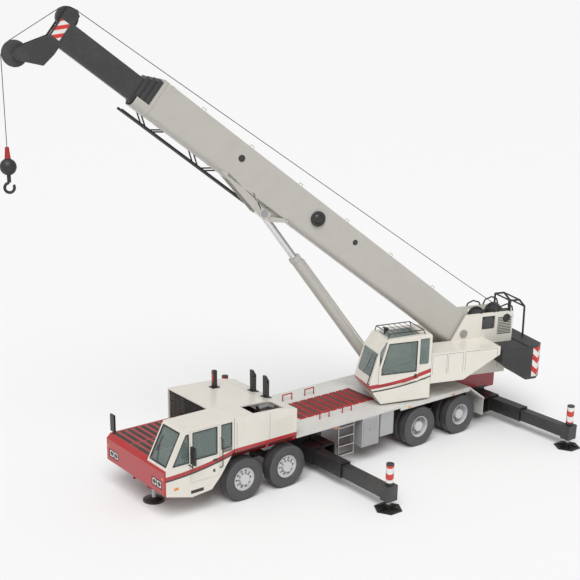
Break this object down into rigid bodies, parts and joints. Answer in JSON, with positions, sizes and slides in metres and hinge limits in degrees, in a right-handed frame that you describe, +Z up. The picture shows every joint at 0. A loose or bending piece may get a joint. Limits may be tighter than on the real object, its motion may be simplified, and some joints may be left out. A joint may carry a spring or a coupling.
{
  "type": "truck crane",
  "caption": "Truck-mounted telescopic crane with two cabs, outriggers, a slewing upper with counterweight, a luffing boom and a hook on its hoist rope.",
  "frame": {"origin": "on the ground under the middle of the machine's overall box", "axes": "+X forward along the carrier, +Y to the carrier's left, +Z up"},
  "size_m": [13.7097, 7.8, 11.1572],
  "materials": {
    "white_paint": "gloss",
    "grey_paint": "gloss",
    "red_paint": "gloss",
    "black_paint": "satin",
    "tyre": "matte",
    "glass": "gloss",
    "trim": "matte",
    "chrome": "polished",
    "steel": "brushed",
    "lens": "gloss"
  },
  "bodies": {
    "carrier": {"chassis_frame": "red_paint", "outrigger_housings": "black_paint", "driveline": "black_paint", "front_bumper": "red_paint", "engine_hood": "white_paint", "carrier_cab_shell": "white_paint", "carrier_cab_glass": "glass", "carrier_cab_interior": "trim", "rear_deck": "grey_paint", "side_boxes": "grey_paint", "grab_rails": "red_paint", "posts_and_mirrors": "black_paint", "lamps": "lens"},
    "carrier_door": {"carrier_cab_door": "white_paint"},
    "upper": {"upper_frame": "white_paint", "counterweight": "black_paint", "winches": "steel", "upper_cab_shell": "white_paint", "upper_cab_glass": "glass", "upper_cab_interior": "trim"},
    "upper_door": {"upper_cab_door": "white_paint"},
    "boom_foot_pin": {"boom_foot_pin": "steel"},
    "boom": {"boom_base": "grey_paint", "lattice_jib": "black_paint"},
    "boom_section_2": {"boom_section_2": "black_paint"},
    "boom_section_3": {"boom_section_3": "black_paint"},
    "boom_section_4": {"boom_section_4": "black_paint"},
    "boom_tip": {"boom_tip": "black_paint"},
    "lift_pin": {"lift_pin": "steel"},
    "lift_barrel": {"lift_barrel": "grey_paint"},
    "lift_piston": {"lift_piston": "steel"},
    "lift_rod": {"lift_rod": "chrome"},
    "jib_sheave": {"jib_sheave": "steel"},
    "hoist_fall": {"hoist_fall": "steel"},
    "hook": {"hook_ball": "steel"},
    "front_jack": {"front_jack": "black_paint"},
    "knuckle_1_left": {"knuckle_1_left": "black_paint"},
    "wheel_1_left": {"wheel_1_left": "tyre"},
    "knuckle_1_right": {"knuckle_1_right": "black_paint"},
    "wheel_1_right": {"wheel_1_right": "tyre"},
    "knuckle_2_left": {"knuckle_2_left": "black_paint"},
    "wheel_2_left": {"wheel_2_left": "tyre"},
    "knuckle_2_right": {"knuckle_2_right": "black_paint"},
    "wheel_2_right": {"wheel_2_right": "tyre"},
    "wheels_3_left": {"wheels_3_left": "tyre"},
    "wheels_3_right": {"wheels_3_right": "tyre"},
    "wheels_4_left": {"wheels_4_left": "tyre"},
    "wheels_4_right": {"wheels_4_right": "tyre"},
    "outrigger_box_front_left": {"outrigger_box_front_left": "black_paint"},
    "outrigger_beam_front_left": {"outrigger_beam_front_left": "black_paint"},
    "jack_foot_front_left": {"jack_foot_front_left": "black_paint"},
    "outrigger_box_front_right": {"outrigger_box_front_right": "black_paint"},
    "outrigger_beam_front_right": {"outrigger_beam_front_right": "black_paint"},
    "jack_foot_front_right": {"jack_foot_front_right": "black_paint"},
    "outrigger_box_rear_left": {"outrigger_box_rear_left": "black_paint"},
    "outrigger_beam_rear_left": {"outrigger_beam_rear_left": "black_paint"},
    "jack_foot_rear_left": {"jack_foot_rear_left": "black_paint"},
    "outrigger_box_rear_right": {"outrigger_box_rear_right": "black_paint"},
    "outrigger_beam_rear_right": {"outrigger_beam_rear_right": "black_paint"},
    "jack_foot_rear_right": {"jack_foot_rear_right": "black_paint"}
  },
  "joints": [
    {"name": "carrier_door_open", "type": "hinge", "parent": "carrier", "child": "carrier_door", "pos_m": [4.6076, 1.306, 1.5], "axis": [0, 0, -1], "range_deg": [0, 70]},
    {"name": "steer_1_left", "type": "hinge", "parent": "carrier", "child": "knuckle_1_left", "pos_m": [3.0636, 0.88, 0.545], "axis": [0, 0, 1], "range_deg": [-32, 32]},
    {"name": "spin_1_left", "type": "hinge", "parent": "knuckle_1_left", "child": "wheel_1_left", "pos_m": [3.0636, 1.12, 0.545], "axis": [0, 1, 0], "continuous": true},
    {"name": "steer_1_right", "type": "hinge", "parent": "carrier", "child": "knuckle_1_right", "pos_m": [3.0636, -0.88, 0.545], "axis": [0, 0, 1], "range_deg": [-32, 32]},
    {"name": "spin_1_right", "type": "hinge", "parent": "knuckle_1_right", "child": "wheel_1_right", "pos_m": [3.0636, -1.12, 0.545], "axis": [0, 1, 0], "continuous": true},
    {"name": "steer_2_left", "type": "hinge", "parent": "carrier", "child": "knuckle_2_left", "pos_m": [1.7836, 0.88, 0.545], "axis": [0, 0, 1], "range_deg": [-24, 24]},
    {"name": "spin_2_left", "type": "hinge", "parent": "knuckle_2_left", "child": "wheel_2_left", "pos_m": [1.7836, 1.12, 0.545], "axis": [0, 1, 0], "continuous": true},
    {"name": "steer_2_right", "type": "hinge", "parent": "carrier", "child": "knuckle_2_right", "pos_m": [1.7836, -0.88, 0.545], "axis": [0, 0, 1], "range_deg": [-24, 24]},
    {"name": "spin_2_right", "type": "hinge", "parent": "knuckle_2_right", "child": "wheel_2_right", "pos_m": [1.7836, -1.12, 0.545], "axis": [0, 1, 0], "continuous": true},
    {"name": "spin_3_left", "type": "hinge", "parent": "carrier", "child": "wheels_3_left", "pos_m": [-2.6564, 1.1525, 0.545], "axis": [0, 1, 0], "continuous": true},
    {"name": "spin_3_right", "type": "hinge", "parent": "carrier", "child": "wheels_3_right", "pos_m": [-2.6564, -1.1525, 0.545], "axis": [0, 1, 0], "continuous": true},
    {"name": "spin_4_left", "type": "hinge", "parent": "carrier", "child": "wheels_4_left", "pos_m": [-4.1764, 1.1525, 0.545], "axis": [0, 1, 0], "continuous": true},
    {"name": "spin_4_right", "type": "hinge", "parent": "carrier", "child": "wheels_4_right", "pos_m": [-4.1764, -1.1525, 0.545], "axis": [0, 1, 0], "continuous": true},
    {"name": "outrigger_front_left", "type": "slide", "parent": "carrier", "child": "outrigger_box_front_left", "axis": [0, 1, 0], "range_m": [-1.04, 0]},
    {"name": "outrigger_beam_front_left", "type": "slide", "parent": "outrigger_box_front_left", "child": "outrigger_beam_front_left", "axis": [0, 1, 0], "range_m": [-1.4, 0]},
    {"name": "jack_front_left", "type": "slide", "parent": "outrigger_beam_front_left", "child": "jack_foot_front_left", "axis": [0, 0, -1], "range_m": [-0.08, 0.45]},
    {"name": "outrigger_front_right", "type": "slide", "parent": "carrier", "child": "outrigger_box_front_right", "axis": [0, -1, 0], "range_m": [-1.04, 0]},
    {"name": "outrigger_beam_front_right", "type": "slide", "parent": "outrigger_box_front_right", "child": "outrigger_beam_front_right", "axis": [0, -1, 0], "range_m": [-1.4, 0]},
    {"name": "jack_front_right", "type": "slide", "parent": "outrigger_beam_front_right", "child": "jack_foot_front_right", "axis": [0, 0, -1], "range_m": [-0.08, 0.45]},
    {"name": "outrigger_rear_left", "type": "slide", "parent": "carrier", "child": "outrigger_box_rear_left", "axis": [0, 1, 0], "range_m": [-1.04, 0]},
    {"name": "outrigger_beam_rear_left", "type": "slide", "parent": "outrigger_box_rear_left", "child": "outrigger_beam_rear_left", "axis": [0, 1, 0], "range_m": [-1.4, 0]},
    {"name": "jack_rear_left", "type": "slide", "parent": "outrigger_beam_rear_left", "child": "jack_foot_rear_left", "axis": [0, 0, -1], "range_m": [-0.08, 0.45]},
    {"name": "outrigger_rear_right", "type": "slide", "parent": "carrier", "child": "outrigger_box_rear_right", "axis": [0, -1, 0], "range_m": [-1.04, 0]},
    {"name": "outrigger_beam_rear_right", "type": "slide", "parent": "outrigger_box_rear_right", "child": "outrigger_beam_rear_right", "axis": [0, -1, 0], "range_m": [-1.4, 0]},
    {"name": "jack_rear_right", "type": "slide", "parent": "outrigger_beam_rear_right", "child": "jack_foot_rear_right", "axis": [0, 0, -1], "range_m": [-0.08, 0.45]},
    {"name": "front_jack", "type": "slide", "parent": "carrier", "child": "front_jack", "axis": [0, 0, -1], "range_m": [-0.2, 0.45]},
    {"name": "slew", "type": "hinge", "parent": "carrier", "child": "upper", "pos_m": [-2.6764, 0, 1.5], "axis": [0, 0, 1], "continuous": true},
    {"name": "upper_door_slide", "type": "slide", "parent": "upper", "child": "upper_door", "axis": [-0.9591, 0.2832, 0], "range_m": [0, 0.62]},
    {"name": "boom_luff_down", "type": "hinge", "parent": "upper", "child": "boom_foot_pin", "pos_m": [-4.54658, 0.5522, 2.71], "axis": [-0.2832, -0.9591, 0], "range_deg": [-34.5, 0]},
    {"name": "boom_luff_up", "type": "hinge", "parent": "boom_foot_pin", "child": "boom", "pos_m": [-4.54658, 0.5522, 2.71], "axis": [-0.2832, -0.9591, 0], "range_deg": [0, 42.5]},
    {"name": "telescope_2", "type": "slide", "parent": "boom", "child": "boom_section_2", "axis": [0.7609, -0.2247, 0.6088], "range_m": [0, 7]},
    {"name": "telescope_3", "type": "slide", "parent": "boom_section_2", "child": "boom_section_3", "axis": [0.7609, -0.2247, 0.6088], "range_m": [0, 7]},
    {"name": "telescope_4", "type": "slide", "parent": "boom_section_3", "child": "boom_section_4", "axis": [0.7609, -0.2247, 0.6088], "range_m": [0, 7]},
    {"name": "telescope_tip", "type": "slide", "parent": "boom_section_4", "child": "boom_tip", "axis": [0.7609, -0.2247, 0.6088], "range_m": [0, 7]},
    {"name": "lift_swing_down", "type": "hinge", "parent": "upper", "child": "lift_pin", "pos_m": [-2.34073, -0.09911, 1.72], "axis": [-0.2832, -0.9591, 0], "range_deg": [-46.1, 0]},
    {"name": "lift_swing_up", "type": "hinge", "parent": "lift_pin", "child": "lift_barrel", "pos_m": [-2.34073, -0.09911, 1.72], "axis": [-0.2832, -0.9591, 0], "range_deg": [0, 42.55]},
    {"name": "lift_stroke_in", "type": "slide", "parent": "lift_barrel", "child": "lift_piston", "axis": [0.5693, -0.1681, 0.8048], "range_m": [-1.2682, 0]},
    {"name": "lift_stroke_out", "type": "slide", "parent": "lift_piston", "child": "lift_rod", "axis": [0.5693, -0.1681, 0.8048], "range_m": [0, 1.8513]},
    {"name": "sheave_turn", "type": "hinge", "parent": "boom_tip", "child": "jib_sheave", "pos_m": [6.44484, -2.69318, 10.18048], "axis": [-0.2832, -0.9591, 0], "range_deg": [0, 36.5]},
    {"name": "fall_plumb", "type": "hinge", "parent": "jib_sheave", "child": "hoist_fall", "pos_m": [6.44484, -2.69318, 10.18048], "axis": [-0.2832, -0.9591, 0], "range_deg": [-44.5, 0]},
    {"name": "hook_hoist", "type": "slide", "parent": "hoist_fall", "child": "hook", "axis": [0, 0, -1], "range_m": [-1.1, 5], "deforming": ["hoist_fall"]}
  ],
  "couplings": [
    {"joint": "steer_1_right", "follows": "steer_1_left", "ratio": 1},
    {"joint": "steer_2_left", "follows": "steer_1_left", "ratio": 0.75},
    {"joint": "steer_2_right", "follows": "steer_1_left", "ratio": 0.75},
    {"joint": "outrigger_beam_front_left", "follows": "outrigger_front_left", "ratio": 1.3462},
    {"joint": "outrigger_beam_front_right", "follows": "outrigger_front_right", "ratio": 1.3462},
    {"joint": "outrigger_beam_rear_left", "follows": "outrigger_rear_left", "ratio": 1.3462},
    {"joint": "outrigger_beam_rear_right", "follows": "outrigger_rear_right", "ratio": 1.3462},
    {"joint": "telescope_3", "follows": "telescope_2", "ratio": 1},
    {"joint": "telescope_4", "follows": "telescope_2", "ratio": 1},
    {"joint": "telescope_tip", "follows": "telescope_2", "ratio": 1},
    {"joint": "lift_swing_down", "follows": "boom_luff_down", "ratio": 1.2782},
    {"joint": "lift_swing_up", "follows": "boom_luff_up", "ratio": 0.95402},
    {"joint": "lift_stroke_in", "follows": "boom_luff_down", "m_per_rad": 2.0231},
    {"joint": "lift_stroke_out", "follows": "boom_luff_up", "m_per_rad": 2.4283},
    {"joint": "sheave_turn", "follows": "boom_luff_down", "ratio": -1},
    {"joint": "fall_plumb", "follows": "boom_luff_up", "ratio": -1}
  ]
}
